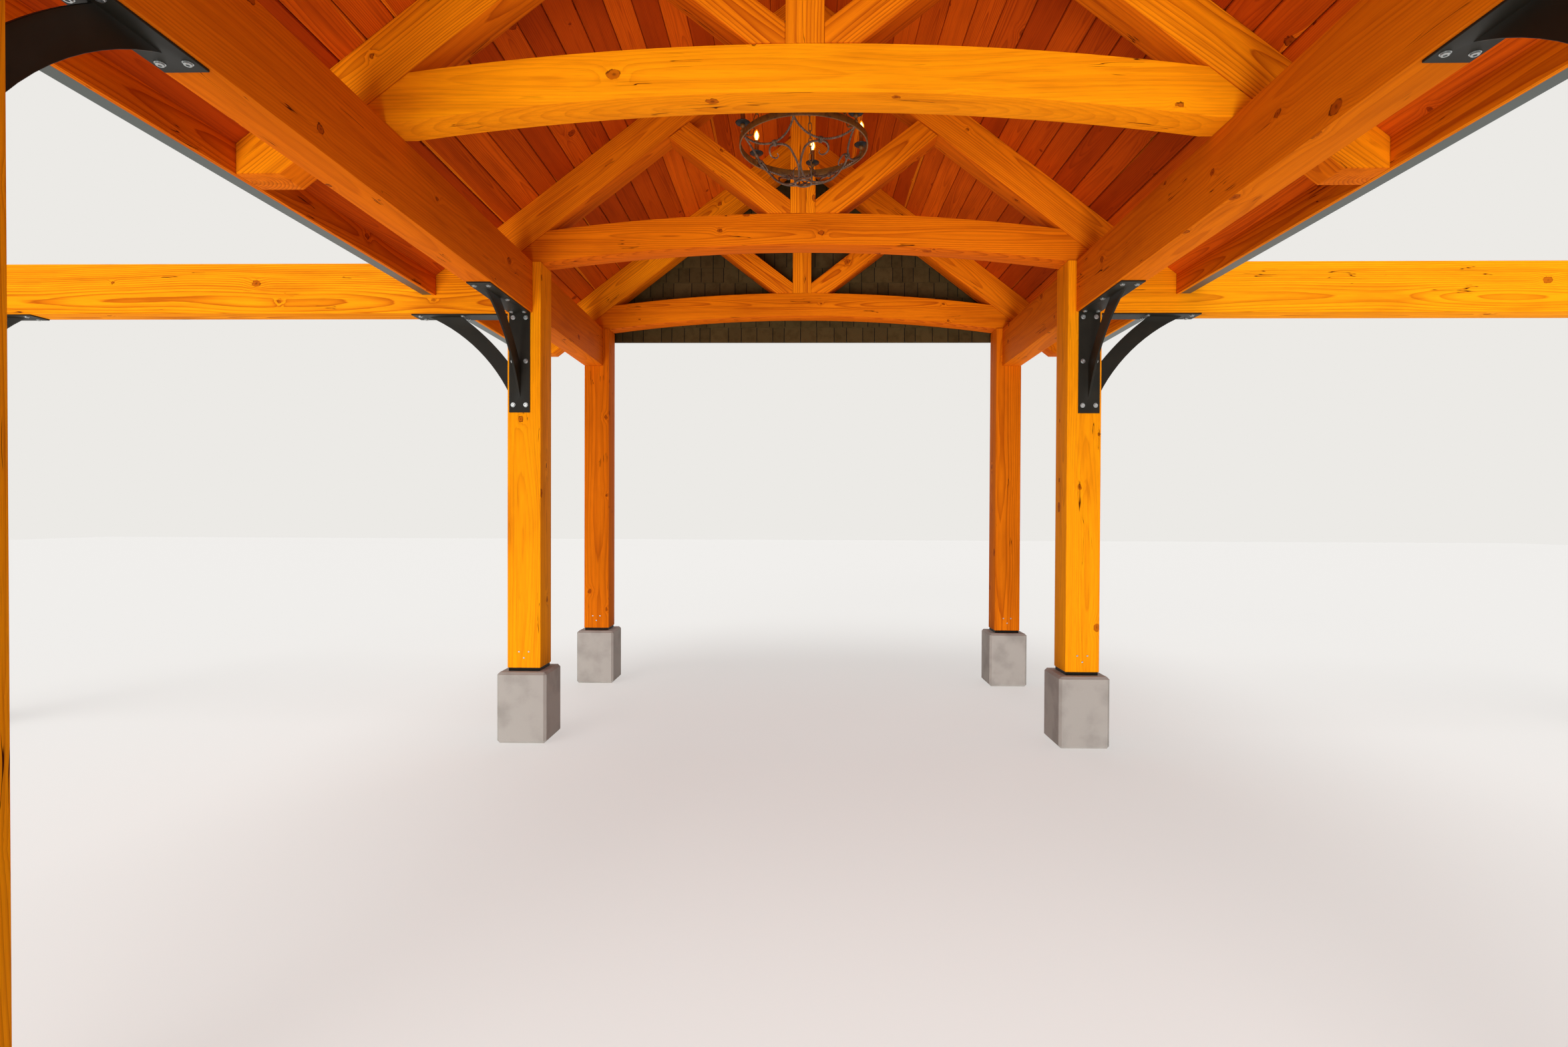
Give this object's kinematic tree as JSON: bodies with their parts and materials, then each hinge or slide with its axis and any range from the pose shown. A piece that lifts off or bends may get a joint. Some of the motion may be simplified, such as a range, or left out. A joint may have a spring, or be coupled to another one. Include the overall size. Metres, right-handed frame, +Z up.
{
  "type": "porch canopy",
  "caption": "Gabled timber porch canopy with arched king-post trusses, a boarded ceiling, eaves gutters, steel knee braces, side beam bays and a hanging candle chandelier.",
  "frame": {"origin": "on the ground, under the middle of the whole canopy in plan", "axes": "+Z up; X across the entrance, along the side beams; +Y from the open front gable to the house wall"},
  "size_m": [11.3, 5.678, 4.6546],
  "materials": {
    "timber": "stained Douglas fir, semi-transparent orange stain",
    "ceiling_boards": "stained tongue-and-groove boards, satin",
    "steel": "black powder coat, satin",
    "concrete": "cast concrete, smooth",
    "roofing": "dark asphalt shingles with mineral granules",
    "gutter": "dark green enamel on aluminium, satin",
    "shingles": "dark brown stained cedar shingles",
    "wrought_iron": "wrought iron, rust brown lacquer",
    "candle_sleeve": "waxy amber drip sleeve",
    "bulb": "warm flame bulb, lit"
  },
  "bodies": {
    "root": {"post_front_left": "timber", "post_front_right": "timber", "post_middle_left": "timber", "post_middle_right": "timber", "post_rear_left": "timber", "post_rear_right": "timber", "post_end_left": "timber", "post_end_right": "timber", "post_shoes": "steel", "piers": "concrete", "main_beam_left": "timber", "main_beam_right": "timber", "side_beam_left": "timber", "side_beam_right": "timber", "tie_beam_1": "timber", "tie_beam_2": "timber", "tie_beam_3": "timber", "tie_beam_4": "timber", "king_posts": "timber", "rafters_1": "timber", "rafters_2": "timber", "rafters_3": "timber", "rafters_4": "timber", "truss_webs": "timber", "knee_braces_front": "steel", "knee_braces_middle": "steel", "knee_braces_side": "steel", "knee_braces_end": "steel", "ceiling_left": "ceiling_boards", "ceiling_right": "ceiling_boards", "fascia_left": "timber", "fascia_right": "timber", "barge_boards": "timber", "gable_infill": "shingles", "roof_left": "roofing", "roof_right": "roofing", "ridge_cap": "roofing", "gutter_left": "gutter", "gutter_right": "gutter", "chandelier_hoop": "wrought_iron", "chandelier_scrolls": "wrought_iron", "chandelier_pans": "wrought_iron", "chandelier_candles": "candle_sleeve", "chandelier_bulbs": "bulb", "chandelier_chain": "wrought_iron", "chandelier_rose": "wrought_iron"}
  },
  "joints": []
}
